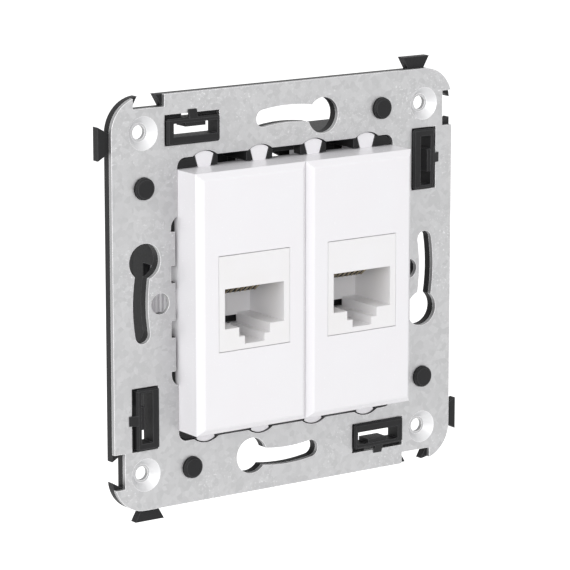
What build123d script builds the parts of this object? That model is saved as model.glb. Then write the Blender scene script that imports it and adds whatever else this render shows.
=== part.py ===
from build123d import *
import os
from math import cos, radians, sin, tan

# A double data socket for a flush wall box: a steel support plate on a black moulded frame,
# with two white modules side by side, each holding one snap-in jack. Millimetres.
# X runs to the right, Y into the wall and Z up. The origin is the middle of the plate on the
# wall's surface, so the front of the socket is at minus Y and the wall box behind it at plus Y.

# The square opening that the two modules share, which everything round them follows
opening_side = 45.0
module_gap = 0.1
module_play = 0.15

# Support plate
plate_border = 12.9
plate_corner_r = 6.0
sheet_t = 0.8
edge_notch_w = 6.2
edge_notch_inset = 7.36
edge_notch_deep = 2.07

# Screw seats drawn into the plate's corners
seat_inset = 6.2
seat_r = 2.85
seat_floor_r = 1.6
seat_hole_r = 1.2
seat_deep = 1.4
seat_wall = 0.45
seat_foot = 0.2
seat_back_sides = 16
seat_room = 0.85
seat_room_sides = 8

# Curved keyholes for the wall box's screws
keyhole_out = 7.5
keyhole_slot_w = 3.0
keyhole_end_deg = -9.5
keyhole_eye_deg = 14.5
keyhole_eye_d = 6.25

# Round holes for claw screws
claw_hole_out = 3.55
claw_hole_d = 3.6
claw_slot_room = 0.2

# The plate's window round the modules
window_end_gap = 1.92
window_corner_r = 1.6
window_side_gap = 0.5
window_middle_half_h = 12.0
scallop_half_w = 2.5
scallop_rise = 0.86
side_notch_gap = 1.35
side_notch_low = 3.2
side_notch_high = 6.2
round_notch_rise = 2.55
round_notch_foot = 0.6

# Black mounting frame
rim_t = 1.5
raised_t = 0.5
raised_play = 0.25
socket_mouth_half_w = 1.8
dovetail_floor_half_w = 3.0
tab_inset = 7.4
tab_neck_half_w = 1.65
tab_tip_half_w = 2.85
tab_reach = 2.1
peg_d = 3.7
peg_play = 0.05
peg_in = 2.57
peg_out = 6.69
peg_proud = 0.85
peg_edge = 0.3

# Sockets for the outer frame's clips
clip_play = 0.2
clip_hole_low_play = 0.05
clip_in = 3.05
clip_out = 6.45
clip_cup_w = 10.6
clip_cup_h = 4.5
clip_cup_corner = 0.3
clip_cup_proud = 0.66
clip_cup_bevel = 0.3
clip_mouth_w = 8.75
clip_mouth_h = 2.25
clip_mouth_shift = 0.3
clip_rib_w = 4.0
clip_rib_h = 0.7
clip_rib_shift = 0.35
clip_rib_setback = 0.15
clip_flex_gap = 0.7
clip_flex_cut_w = 4.0
clip_bump_w = 1.7
clip_bump_over = 0.6
clip_bump_root = 0.4
clip_bump_lift = 0.02
clip_bump_tip_t = 0.1

# Skirt behind the rim, which stands in the wall box
skirt_deep = 9.6
skirt_t = 1.4
skirt_box_out = 9.1
skirt_corner_t = 1.2
skirt_end_gap = 0.18
skirt_window_half_h = 5.45
skirt_window_deep = 6.2
pocket_half_w = 2.95
pocket_web_t = 1.0
pocket_web_drop = 3.0
pocket_deep = 5.2
lintel_setback = 0.7
lintel_seat = 0.6

# Module covers
cover_front = -8.7
cover_back = -0.1
cover_face_t = 2.0
cover_wall_t = 1.2
cover_bevel = 1.1
cover_edge = 0.15
wing_play = 0.1
wing_back = 8.0
wing_groove_w = 0.7
wing_groove_deep = 0.35
wing_groove_pitch = 1.3
wing_groove_count = 4
wing_groove_from = 0.9
wing_groove_half_h = 3.4
rib_t = 1.0
rib_back = -2.5

# Ears that hold a module in the frame
ear_t = 1.0
ear_neck_half_w = 1.225
ear_head_half_w = 1.85
ear_head_z = 2.1
ear_crown_z = 2.7
ear_play = 0.12
tongue_t = 0.95
tongue_back = 3.4
hook_reach = 0.8
hook_gap = 0.1
hook_land = 0.5
hook_len = 2.0

# Jack housing, a snap-in body in the cover's opening
jack_w = 14.45
jack_h = 16.35
jack_side_gap = 0.05
jack_end_gap = 0.1
jack_collar_t = 1.2
jack_collar_back = 0.4
jack_flange_t = 3.7
jack_roof_z = 6.5
jack_back = 2.8
partition_t = 1.2
port_w = 12.1
port_top = 2.52
port_low = -4.35
latch_step_w = 6.3
latch_step_low = -5.95
latch_w = 4.0
latch_low = -7.3
partition_top = -1.0
rear_window_w = 8.2
rear_window_low = -6.1
rear_window_high = -4.7
lip_t = 1.4
channel_w = 11.0
channel_top = 5.8
lug_w = 10.0
lug_drop = 1.2
lug_root = 1.0
lug_len = 1.6
spring_arm_w = 9.0
spring_arm_t = 0.9
spring_arm_front = -4.2
spring_arm_low = 7.2
spring_hook_w = 4.5
spring_hook_rise = 1.2
spring_hook_land = 0.4
spring_hook_foot = 0.2

# Contact wires and the black carrier that holds them
wire_t = 0.42
wire_pitch = 1.02
wire_count = 8
wire_run_z = 3.9
wire_tip_y = -3.45
wire_tip_z = 0.61
wire_slope_deg = 38.7
wire_bend = 0.9
wire_tail = 0.5
groove_w = 0.6
groove_room = 0.09
carrier_play = 0.1
carrier_gap = 0.05
carrier_arm_front = -4.9
carrier_arm_low = 2.9
carrier_back_t = 1.15
carrier_back_w = 14.0
carrier_back_half_h = 6.4
flap_w = 8.0
flap_t = 0.25
flap_gap = 0.1
flap_root_y = -4.7
flap_root = 0.1
flap_past = 0.9

# Circuit board and cable terminals behind it
board_w = 14.8
board_h = 17.2
board_t = 1.2
block_low = 4.9
block_deep = 8.0
block_slot_w = 1.0
block_slot_deep = 5.5
block_pitch = 3.5
block_count = 4
block_tip_bevel = 0.6
blade_w = 2.4
blade_t = 0.4
blade_len = 5.2
blade_setback = 0.6
blade_slit_w = 0.36
blade_slit_deep = 4.2
blade_mouth_w = 1.1
blade_mouth_deep = 0.8
blade_pin_w = 0.6
blade_pin_proud = 0.3
blade_play = 0.05

# Snap-on cap over the terminals
cap_t = 1.2
cap_play = 0.2
cap_room = 1.0
cap_edge = 0.6
cable_hole_d = 6.5
cable_collar_t = 1.2
cable_collar_len = 2.2
presser_w = 0.7
presser_enter = 0.3
presser_blade_gap = 0.9

# Places that follow from the sizes above
opening_half = opening_side / 2
plate_side = opening_side + 2 * plate_border
plate_half = plate_side / 2
notch_floor = plate_half - edge_notch_deep
seat_pitch = plate_side - 2 * seat_inset
keyhole_ring_r = opening_half + keyhole_out
peg_at = (opening_half - peg_in, opening_half + peg_out)
clip_at = (clip_in - opening_half, opening_half + clip_out)
window_half_h = opening_half + window_end_gap
window_middle_half_w = opening_half + window_side_gap
side_notch_out = opening_half + side_notch_gap
rim_front = -rim_t
sheet_front = rim_front - sheet_t
raised_front = rim_front - raised_t
module_pitch = opening_half
module_w = module_pitch - module_gap
module_h = opening_side - module_gap
module_top = module_h / 2
frame_hole_half_w = module_pitch + module_play
frame_hole_half_h = module_top + module_play
skirt_half_h = window_half_h + skirt_end_gap
skirt_box_r = opening_half + skirt_box_out
wing_half_h = window_middle_half_h - wing_play
ear_spacing = module_pitch / 2
ear_back = raised_front + ear_t
carrier_step = jack_back + carrier_gap
carrier_back = carrier_step + carrier_back_t
board_back = carrier_back + board_t
block_back = board_back + block_deep
block_high = board_h / 2
blade_z = (block_low + block_high) / 2
cap_floor = block_back + cap_room
module_xs = (-module_pitch / 2, module_pitch / 2)
ear_xs = [x + end * ear_spacing / 2 for x in module_xs for end in (-1, 1)]


def slab(outline, front, back):
    """Gives an outline drawn in X and Z its depth, from y = front to y = back."""
    return extrude(Plane.XZ.offset(-back) * outline, amount=back - front, dir=(0, -1, 0))


def field(left, right, low, high):
    """A rectangle in X and Z, given by its four edges."""
    return Pos((left + right) / 2, (low + high) / 2) * Rectangle(right - left, high - low)


def bar(profile, left, right):
    """Gives a profile drawn in Y and Z its width, from x = left to x = right."""
    return extrude(Plane.YZ.offset(left) * profile, amount=right - left, dir=(1, 0, 0))


def around(outline):
    """The same outline on all four sides of the plate, by quarter turns."""
    return [Rot(0, 0, -90 * turn) * outline for turn in range(4)]


def both_ends(outline):
    """An outline above the middle, and its mirror image below."""
    return [outline, mirror(outline, about=Plane.XZ)]


def both_sides(outline):
    """An outline above the middle on the right, repeated in all four quarters."""
    return [*both_ends(outline), *both_ends(mirror(outline, about=Plane.YZ))]


def row(count, pitch):
    """The places of a centred row."""
    return [(place - (count - 1) / 2) * pitch for place in range(count)]


def keyhole():
    """A curved slot with a round eye at one end, for the top side."""
    sweep = keyhole_eye_deg - keyhole_end_deg
    path = CenterArc((0, 0), keyhole_ring_r, 90 - keyhole_eye_deg, sweep)
    turn = radians(keyhole_eye_deg)
    eye_at = Pos(keyhole_ring_r * sin(turn), keyhole_ring_r * cos(turn))
    return SlotArc(path, keyhole_slot_w) + eye_at * Circle(keyhole_eye_d / 2)


def claw_holes():
    """The two round holes left and right of the modules."""
    reach = opening_half + claw_hole_out
    return [Pos(x, 0) * Circle(claw_hole_d / 2) for x in (-reach, reach)]


def claw_slots():
    """The slots in the rim, from round each claw screw to the opening for the modules."""
    half = claw_hole_d / 2 + claw_slot_room
    reach = opening_half + claw_hole_out
    slot = field(opening_half - module_gap, reach, -half, half) + Pos(reach, 0) * Circle(half)
    return [slot, mirror(slot, about=Plane.YZ)]


def corners(outline):
    """An outline in each corner of the plate, where the drawn screw seats are."""
    half = seat_pitch / 2
    return [Pos(x, z) * outline for x in (-half, half) for z in (-half, half)]


def scallop(play=0.0):
    """The round dip that clears an ear's head in the edge of the window, for the top side."""
    radius = (scallop_half_w ** 2 + scallop_rise ** 2) / (2 * scallop_rise)
    return Pos(0, window_half_h + scallop_rise - radius) * Circle(radius - play)


def side_notch():
    """The square notch beside the window's middle, on the upper right."""
    return field(0, side_notch_out, side_notch_low, side_notch_high)


def round_notch():
    """The notch with a quarter-round corner above it, on the upper right."""
    out = side_notch_out
    start = window_middle_half_h
    foot = start + round_notch_foot
    top = start + round_notch_rise
    edge = Polyline((0, start), (out, start), (out, foot))
    arc = TangentArc((out, foot), (opening_half, top), tangent=(0, 1))
    back = Polyline((opening_half, top), (0, top), (0, start))
    return make_face([*edge.edges(), *arc.edges(), *back.edges()])


def plate_window():
    """The plate's opening: tall at the modules' ends, wider at their middle, with notches."""
    window = RectangleRounded(opening_side, 2 * window_half_h, window_corner_r)
    window += Rectangle(2 * window_middle_half_w, 2 * window_middle_half_h)
    window += both_sides(side_notch())
    window += both_sides(round_notch())
    for x in ear_xs:
        window += both_ends(Pos(x, 0) * scallop())
    return window


def clip_hole():
    """The plate's hole round one clip socket, for the top side."""
    across, out = clip_at
    half = clip_cup_w / 2 + clip_play
    low = out - clip_cup_h / 2 - clip_hole_low_play
    high = out + clip_cup_h / 2 + clip_flex_gap
    return field(across - half, across + half, low, high)


def seat_cone(radius, floor_radius, front, back):
    """A cone that narrows from the front to the back."""
    profile = Polygon((0, front), (radius, front), (floor_radius, back), (0, back), align=None)
    return revolve(profile, axis=Axis.Y)


def seat_back():
    """The outside of a drawn seat, behind the sheet, in flat facets."""
    slope = (seat_r - seat_floor_r) / seat_deep
    wide = seat_r - slope * sheet_t + seat_wall
    narrow = seat_floor_r + seat_foot
    base = Plane.XZ.offset(-rim_front) * RegularPolygon(wide, seat_back_sides)
    end = Plane.XZ.offset(-sheet_front - seat_deep - sheet_t) * RegularPolygon(narrow, seat_back_sides)
    return loft([base, end], ruled=True)


def support_plate():
    """One piece of zinc-coated sheet, stamped, with its screw seats drawn back."""
    notch_half = edge_notch_w / 2
    notch_at = edge_notch_inset - plate_half
    notch = field(notch_at - notch_half, notch_at + notch_half, notch_floor, plate_side)
    peg_hole = Pos(*peg_at) * Circle(peg_d / 2 + peg_play)
    sheet = RectangleRounded(plate_side, plate_side, plate_corner_r) - plate_window()
    for outline in (notch, peg_hole, clip_hole(), keyhole()):
        sheet -= around(outline)
    sheet -= claw_holes()
    plate = slab(sheet, sheet_front, rim_front)
    floor = sheet_front + seat_deep
    half = seat_pitch / 2
    places = [Pos(x, 0, z) for x in (-half, half) for z in (-half, half)]
    plate += [place * seat_back() for place in places]
    plate -= [place * seat_cone(seat_r, seat_floor_r, sheet_front, floor) for place in places]
    return plate - slab(Sketch() + corners(Circle(seat_hole_r)), floor, floor + sheet_t)


def dovetail(mouth_half_w, inner_half_w, mouth_v, inner_v):
    """A four-sided dovetail between two heights above the plate's middle."""
    return Polygon(
        (-mouth_half_w, mouth_v),
        (mouth_half_w, mouth_v),
        (inner_half_w, inner_v),
        (-inner_half_w, inner_v),
        align=None,
    )


def clip_mouth():
    """The slot that an outer frame's clip enters, for the top side."""
    across, out = clip_at
    at = Pos(across + clip_mouth_shift, out + clip_mouth_shift)
    return at * Rectangle(clip_mouth_w, clip_mouth_h)


def clip_flex_cut():
    """The slot beside a clip socket, which lets its outer wall give, for the top side."""
    across, out = clip_at
    half = clip_flex_cut_w / 2
    low = out + clip_cup_h / 2
    centre = across + clip_rib_shift
    return field(centre - half, centre + half, low, low + clip_flex_gap)


def rim_outline():
    """The rim's outline: dovetail sockets and tabs on its edges, and all its holes."""
    slope = (dovetail_floor_half_w - socket_mouth_half_w) / edge_notch_deep
    past = socket_mouth_half_w - slope * tab_reach
    socket = dovetail(past, dovetail_floor_half_w, plate_half + tab_reach, notch_floor)
    tab = dovetail(tab_neck_half_w, tab_tip_half_w, plate_half, plate_half + tab_reach)
    root = field(-tab_neck_half_w, tab_neck_half_w, notch_floor, plate_half)
    rim = RectangleRounded(plate_side, plate_side, plate_corner_r)
    rim -= around(Pos(edge_notch_inset - plate_half, 0) * socket)
    rim += around(Pos(plate_half - tab_inset, 0) * (tab + root))
    for outline in (keyhole(), clip_mouth(), clip_flex_cut()):
        rim -= around(outline)
    rim -= claw_slots()
    rim -= corners(RegularPolygon(seat_r + seat_room, seat_room_sides))
    rim -= Rectangle(2 * frame_hole_half_w, 2 * frame_hole_half_h)
    return rim - both_sides(side_notch())


def clip_cup():
    """The raised part of one clip socket, with its snap bump over the plate, for the top side."""
    across, out = clip_at
    front = sheet_front - clip_cup_proud
    cup = slab(Pos(across, out) * Rectangle(clip_cup_w, clip_cup_h), front, rim_front)
    cup = chamfer(cup.edges().filter_by(Axis.Y), clip_cup_corner)
    cup = chamfer(cup.faces().sort_by(Axis.Y)[0].edges(), clip_cup_bevel)
    cup -= slab(clip_mouth(), front, rim_front)
    top = out + clip_cup_h / 2
    over = top + clip_flex_gap + clip_bump_over
    root = top - clip_bump_root
    lift = sheet_front - clip_bump_lift
    bump = Polygon(
        (lift, root),
        (front, root),
        (front + clip_bump_tip_t, top),
        (lift - clip_bump_tip_t, over),
        (lift, over),
        align=None,
    )
    half = clip_bump_w / 2
    return cup + bar(bump, across - half, across + half)


def clip_rib():
    """The rib on the outer wall of a clip socket, for the top side."""
    across, out = clip_at
    centre = across + clip_rib_shift
    top = out + clip_mouth_shift + clip_mouth_h / 2
    half = clip_rib_w / 2
    shape = field(centre - half, centre + half, top - clip_rib_h, top)
    return slab(shape, sheet_front - clip_cup_proud + clip_rib_setback, 0)


def peg():
    """One of the four pegs that pass through the plate and hold it."""
    shape = slab(Pos(*peg_at) * Circle(peg_d / 2), sheet_front - peg_proud, rim_front)
    return chamfer(shape.faces().sort_by(Axis.Y)[0].edges(), peg_edge)


def raised_field():
    """The low island that fills the gap between the plate's window and the modules' ends."""
    low = frame_hole_half_h
    half_w = opening_half - raised_play
    half_h = window_half_h - raised_play
    shape = RectangleRounded(2 * half_w, 2 * half_h, window_corner_r)
    shape &= field(-half_w, half_w, low, half_h)
    for x in ear_xs:
        reach = 2 * scallop_half_w
        shape += (Pos(x, 0) * scallop(raised_play)) & field(x - reach, x + reach, low, plate_half)
    return shape


def pockets():
    """The three open pockets between neighbouring ears, for the top side."""
    low = module_top - cover_wall_t
    high = window_half_h - raised_play
    half = pocket_half_w
    centres = [(a + b) / 2 for a, b in zip(ear_xs, ear_xs[1:])]
    return [field(x - half, x + half, low, high) for x in centres]


def skirt():
    """The wall behind the rim: straight along the modules and round at the corners."""
    outer = Rectangle(2 * (frame_hole_half_w + skirt_t), 2 * (skirt_half_h + skirt_t))
    inner = Rectangle(2 * frame_hole_half_w, 2 * skirt_half_h)
    outer &= Circle(skirt_box_r)
    inner &= Circle(skirt_box_r - skirt_corner_t)
    wall = slab(outer - inner, 0, skirt_deep)
    window = field(-plate_half, plate_half, -skirt_window_half_h, skirt_window_half_h)
    return wall - slab(window, 0, skirt_window_deep)


def pocket_webs():
    """The webs inside the skirt that close the outer pockets behind, for the top end."""
    half = pocket_half_w
    web_end = pocket_deep + pocket_web_t
    low = module_top - pocket_web_drop
    webs = []
    for x in module_xs:
        back = field(x - half, x + half + pocket_web_t, low, skirt_half_h)
        side = field(x + half, x + half + pocket_web_t, frame_hole_half_h, skirt_half_h)
        webs.append(slab(back, pocket_deep, web_end))
        webs.append(slab(side, 0, web_end))
    reach = half + lintel_seat
    lintel = field(-reach, reach, opening_half + lintel_setback, skirt_half_h)
    webs.append(slab(lintel, 0, pocket_web_t))
    return webs


def ear_outline():
    """A module's ear above z = 0: a neck that widens to a rounded head."""
    right = Polyline(
        (0, -cover_wall_t),
        (ear_neck_half_w, -cover_wall_t),
        (ear_neck_half_w, 0),
        (ear_head_half_w, ear_head_z),
    )
    left = mirror(right, about=Plane.YZ)
    crown = ThreePointArc((ear_head_half_w, ear_head_z), (0, ear_crown_z), (-ear_head_half_w, ear_head_z))
    return make_face([*right.edges(), *crown.edges(), *left.edges()])


def ear_room():
    """The room in the frame for an ear, with a flat top over its head."""
    neck = ear_neck_half_w + ear_play
    head = ear_head_half_w + ear_play
    top = ear_crown_z + ear_play
    return Polygon(
        (-neck, -cover_wall_t),
        (neck, -cover_wall_t),
        (neck, 0),
        (head, ear_head_z),
        (head, top),
        (-head, top),
        (-head, ear_head_z),
        (-neck, 0),
        align=None,
    )


def mounting_frame():
    """One black moulding that carries the plate, the modules and the outer frame's clips."""
    frame = slab(rim_outline(), rim_front, 0)
    frame += slab(Sketch() + both_ends(raised_field()), raised_front, rim_front)
    frame += skirt()
    for turn in range(4):
        for piece in (clip_cup(), clip_rib(), peg()):
            frame += Rot(0, 90 * turn, 0) * piece
    for web in pocket_webs():
        frame += [web, mirror(web, about=Plane.XY)]
    for pocket in pockets():
        frame -= slab(Sketch() + both_ends(pocket), raised_front, 0)
    head_room = Pos(0, module_top) * ear_room()
    tongue_w = ear_neck_half_w + ear_play
    tongue_room = field(-tongue_w, tongue_w, 0, module_top + tongue_t + ear_play)
    for x in ear_xs:
        frame -= slab(Sketch() + both_ends(Pos(x, 0) * head_room), raised_front, ear_back)
        frame -= slab(Sketch() + both_ends(Pos(x, 0) * tongue_room), ear_back, 0)
    return frame


def ear():
    """One ear, with its tongue through the rim and the hook behind it, for the top end."""
    half = ear_neck_half_w
    base = module_top
    top = base + tongue_t + hook_reach
    head = slab(Pos(0, base) * ear_outline(), raised_front, ear_back)
    tongue = slab(field(-half, half, base - cover_wall_t, base + tongue_t), ear_back, tongue_back)
    hook = Polygon(
        (hook_gap, base),
        (hook_gap, top),
        (hook_gap + hook_land, top),
        (hook_gap + hook_len, base + tongue_t),
        (hook_gap + hook_len, base),
        align=None,
    )
    return head + tongue + bar(hook, -half, half)


def wing():
    """The grooved wing that guides a module along the skirt, on the right."""
    edge = module_w / 2
    shape = slab(field(edge - cover_wall_t, edge, -wing_half_h, wing_half_h), cover_back, wing_back)
    groove = field(edge - wing_groove_deep, edge, -wing_groove_half_h, wing_groove_half_h)
    for place in range(wing_groove_count):
        start = wing_groove_from + place * wing_groove_pitch
        shape -= slab(groove, start, start + wing_groove_w)
    return shape


def module_cover():
    """One white module: a shallow tray with bevelled front, ears, wings and a jack collar."""
    body = slab(Rectangle(module_w, module_h), cover_front, cover_back)
    body = chamfer(body.faces().sort_by(Axis.Y)[0].edges(), cover_bevel)
    body = chamfer(body.faces().sort_by(Axis.Y)[0].edges(), cover_edge)
    wall = cover_wall_t
    floor = cover_front + cover_face_t
    body -= slab(Rectangle(module_w - 2 * wall, module_h - 2 * wall), floor, cover_back)
    hole_w = jack_w + 2 * jack_side_gap
    hole_h = jack_h + 2 * jack_end_gap
    collar_w = hole_w + 2 * jack_collar_t
    collar = Rectangle(collar_w, hole_h + 2 * jack_collar_t)
    body += slab(collar, floor, jack_collar_back)
    reach = (collar_w - rib_t) / 2
    end = module_top - wall / 2
    for x in (-reach, reach):
        body += slab(field(x - rib_t / 2, x + rib_t / 2, -end, end), floor, rib_back)
    body -= slab(Rectangle(hole_w, hole_h), cover_front, jack_collar_back)
    side = wing()
    body += [side, mirror(side, about=Plane.YZ)]
    for x in (-ear_spacing / 2, ear_spacing / 2):
        piece = Pos(x, 0, 0) * ear()
        body += [piece, mirror(piece, about=Plane.XY)]
    return body


def port_outline():
    """The plug opening: wide above, with two steps down for the plug's latch."""
    port = field(-port_w / 2, port_w / 2, port_low, port_top)
    port += field(-latch_step_w / 2, latch_step_w / 2, latch_step_low, port_low)
    return port + field(-latch_w / 2, latch_w / 2, latch_low, latch_step_low)


def spring_arm():
    """The jack's springy upper arm, with the hook that snaps behind the collar."""
    half = spring_arm_w / 2
    high = spring_arm_low + spring_arm_t
    arm = slab(field(-half, half, spring_arm_low, high), spring_arm_front, jack_back)
    root = field(-half, half, jack_roof_z - spring_arm_t, high)
    arm += slab(root, jack_back - spring_arm_t, jack_back)
    start = jack_collar_back + jack_side_gap
    hook = Polygon(
        (start, spring_arm_low),
        (start, high + spring_hook_rise),
        (start + spring_hook_land, high + spring_hook_rise),
        (jack_back - spring_hook_foot, spring_arm_low),
        align=None,
    )
    return arm + bar(hook, -spring_hook_w / 2, spring_hook_w / 2)


def jack_housing():
    """The snap-in jack body: a front flange, the stepped port, a lug and a spring arm."""
    half_w = jack_w / 2
    half_h = jack_h / 2
    front = cover_front
    flange_back = front + jack_flange_t
    body = slab(Rectangle(jack_w, jack_h), front, flange_back)
    body += slab(field(-half_w, half_w, -half_h, jack_roof_z), flange_back, jack_back)
    lug_front = jack_collar_back + jack_side_gap
    lug = field(-lug_w / 2, lug_w / 2, -half_h - lug_drop, -half_h + lug_root)
    body += slab(lug, lug_front, lug_front + lug_len)
    body += spring_arm()
    partition_front = jack_back - partition_t
    body -= slab(port_outline(), front, partition_front)
    half_c = channel_w / 2
    body -= slab(field(-half_c, half_c, port_low, channel_top), front + lip_t, partition_front)
    body -= slab(field(-half_c, half_c, partition_top, channel_top), partition_front, jack_back)
    half_r = rear_window_w / 2
    gap = field(-half_r, half_r, rear_window_low, rear_window_high)
    return body - slab(gap, partition_front, jack_back)


def strip(points, thickness):
    """The outline of an even strip that follows points in one plane, with mitred corners."""
    runs = [Vector(*after) - Vector(*before) for before, after in zip(points, points[1:])]
    normals = [Vector(-run.Y, run.X).normalized() for run in runs]
    edge = []
    for point, before, after in zip(points, [normals[0], *normals], [*normals, normals[-1]]):
        across = (before + after).normalized()
        edge.append((Vector(*point), across * (thickness / 2 / across.dot(before))))
    outline = [point + offset for point, offset in edge]
    outline += [point - offset for point, offset in reversed(edge)]
    return Polygon(*[(corner.X, corner.Y) for corner in outline], align=None)


def contact_wires():
    """Eight spring wires: level above the port, bent over in front and slanting into it."""
    slope = radians(wire_slope_deg)
    corner_y = wire_tip_y - (wire_run_z - wire_tip_z) / tan(slope)
    side_view = strip(
        [
            (board_back + wire_tail, wire_run_z),
            (corner_y + wire_bend, wire_run_z),
            (corner_y + wire_bend * cos(slope), wire_run_z - wire_bend * sin(slope)),
            (wire_tip_y, wire_tip_z),
        ],
        wire_t,
    )
    half = wire_t / 2
    return [bar(side_view, x - half, x + half) for x in row(wire_count, wire_pitch)]


def wire_flap():
    """The carrier's thin flap, close behind the slanting wires, which gives way with them."""
    slope = radians(wire_slope_deg)
    lift = (wire_t / 2 + flap_gap + flap_t / 2) / cos(slope)
    knee = wire_tip_z + lift + (wire_tip_y - flap_root_y) * tan(slope)
    side_view = strip(
        [
            (flap_root_y, carrier_arm_low + flap_root),
            (flap_root_y, knee),
            (wire_tip_y + flap_past, wire_tip_z + lift - flap_past * tan(slope)),
        ],
        flap_t,
    )
    return bar(side_view, -flap_w / 2, flap_w / 2)


def contact_carrier():
    """The black moulding behind the port, with a grooved arm that the wires lie in."""
    half_c = channel_w / 2 - carrier_play
    plug_front = jack_back - partition_t + carrier_play
    high = channel_top - carrier_play
    body = slab(field(-half_c, half_c, carrier_arm_low, high), carrier_arm_front, carrier_step)
    low = partition_top + carrier_play
    body += slab(field(-half_c, half_c, low, high), plug_front, carrier_step)
    half_b = carrier_back_w / 2
    half_h = carrier_back_half_h
    body += slab(field(-half_b, half_b, -half_h, half_h), carrier_step, carrier_back)
    body += wire_flap()
    groove_floor = wire_run_z - wire_t / 2 - groove_room
    for x in row(wire_count, wire_pitch):
        groove = field(x - groove_w / 2, x + groove_w / 2, groove_floor, half_h)
        body -= slab(groove, carrier_arm_front, carrier_back)
    return body


def circuit_board():
    """The board that joins the wires to the cable terminals."""
    board = Rectangle(board_w, board_h)
    wire_room = Rectangle(wire_t + 2 * blade_play, wire_t + 2 * blade_play)
    board -= [Pos(x, wire_run_z) * wire_room for x in row(wire_count, wire_pitch)]
    pin_room = Rectangle(blade_pin_w + 2 * blade_play, blade_t + 2 * blade_play)
    for x in row(block_count, block_pitch):
        board -= both_ends(Pos(x, blade_z) * pin_room)
    return slab(board, carrier_back, board_back)


def terminal_block():
    """A slotted comb for four of the cable's wires, with pointed towers, above the middle."""
    slot_floor = block_back - block_slot_deep
    blade_floor = block_back - blade_setback - blade_len - blade_play
    slot = block_slot_w / 2
    mouth = slot + block_tip_bevel
    room_w = blade_w / 2 + blade_play
    room_t = blade_t / 2 + blade_play
    pin_w = blade_pin_w / 2 + blade_play
    cut = Polygon(
        (-slot, slot_floor),
        (slot, slot_floor),
        (slot, block_back - block_tip_bevel),
        (mouth, block_back),
        (-mouth, block_back),
        (-slot, block_back - block_tip_bevel),
        align=None,
    )
    places = row(block_count, block_pitch)
    comb = Pos(0, (board_back + block_back) / 2) * Rectangle(board_w, block_deep)
    comb -= [Pos(x, 0) * cut for x in places]
    base = Plane.XY.offset(block_low)
    block = extrude(base * comb, amount=block_high - block_low, dir=(0, 0, 1))
    for x in places:
        room = field(x - room_w, x + room_w, blade_z - room_t, blade_z + room_t)
        block -= slab(room, blade_floor, block_back)
        pin = field(x - pin_w, x + pin_w, blade_z - room_t, blade_z + room_t)
        block -= slab(pin, board_back, blade_floor)
    return block


def idc_contacts():
    """Four forked blades that cut into the cable's wires, each with a pin through the board."""
    tip = block_back - blade_setback
    foot = tip - blade_len
    half = blade_w / 2
    slit = blade_slit_w / 2
    mouth = blade_mouth_w / 2
    pin = blade_pin_w / 2
    end = carrier_back - blade_pin_proud
    plate = Polygon((-half, foot), (half, foot), (half, tip), (-half, tip), align=None)
    leg = Polygon((-pin, end), (pin, end), (pin, foot), (-pin, foot), align=None)
    cut = Polygon(
        (-slit, tip - blade_slit_deep),
        (slit, tip - blade_slit_deep),
        (slit, tip - blade_mouth_deep),
        (mouth, tip),
        (-mouth, tip),
        (-slit, tip - blade_mouth_deep),
        align=None,
    )
    flat = Plane.XY.offset(blade_z - blade_t / 2) * (plate - cut + leg)
    blade = extrude(flat, amount=blade_t, dir=(0, 0, 1))
    return [Pos(x, 0, 0) * blade for x in row(block_count, block_pitch)]


def wire_cap():
    """The snap-on cap: a box over both terminal blocks, with pressers and a cable collar."""
    front = carrier_back + carrier_play
    inner_w = board_w + 2 * cap_play
    inner_h = board_h + 2 * cap_play
    back = cap_floor + cap_t
    body = slab(Rectangle(inner_w + 2 * cap_t, inner_h + 2 * cap_t), front, back)
    body = chamfer(body.faces().sort_by(Axis.Y)[-1].edges(), cap_edge)
    body -= slab(Rectangle(inner_w, inner_h), front, cap_floor)
    body += slab(Circle(cable_hole_d / 2 + cable_collar_t), back, back + cable_collar_len)
    body -= slab(Circle(cable_hole_d / 2), cap_floor, back + cable_collar_len)
    gap = presser_blade_gap / 2
    half = presser_w / 2
    for x in row(block_count, block_pitch):
        presser = field(x - half, x + half, block_low, block_high)
        presser -= field(x - presser_w, x + presser_w, blade_z - gap, blade_z + gap)
        body += slab(Sketch() + both_ends(presser), block_back - presser_enter, cap_floor)
    return body


def flipped(solids):
    """The same solids, mirrored to below the middle."""
    return [mirror(solid, about=Plane.XY) for solid in solids]


def write(name, solids):
    """Writes one node, of one solid or of several like ones."""
    shape = solids[0] if len(solids) == 1 else Compound(children=solids)
    export_step(shape, f"parts/{name}.step")


os.makedirs("parts", exist_ok=True)
write("support_plate", [support_plate()])
write("mounting_frame", [mounting_frame()])
module_pieces = {
    "module_cover": [module_cover()],
    "jack_housing": [jack_housing()],
    "contact_carrier": [contact_carrier()],
    "contact_wires": contact_wires(),
    "circuit_board": [circuit_board()],
    "upper_terminal_block": [terminal_block()],
    "lower_terminal_block": flipped([terminal_block()]),
    "upper_idc_contacts": idc_contacts(),
    "lower_idc_contacts": flipped(idc_contacts()),
    "wire_cap": [wire_cap()],
}
for side, x in zip(("left", "right"), module_xs):
    for name, solids in module_pieces.items():
        write(f"{side}_{name}", [Pos(x, 0, 0) * solid for solid in solids])
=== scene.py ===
import math

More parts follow.
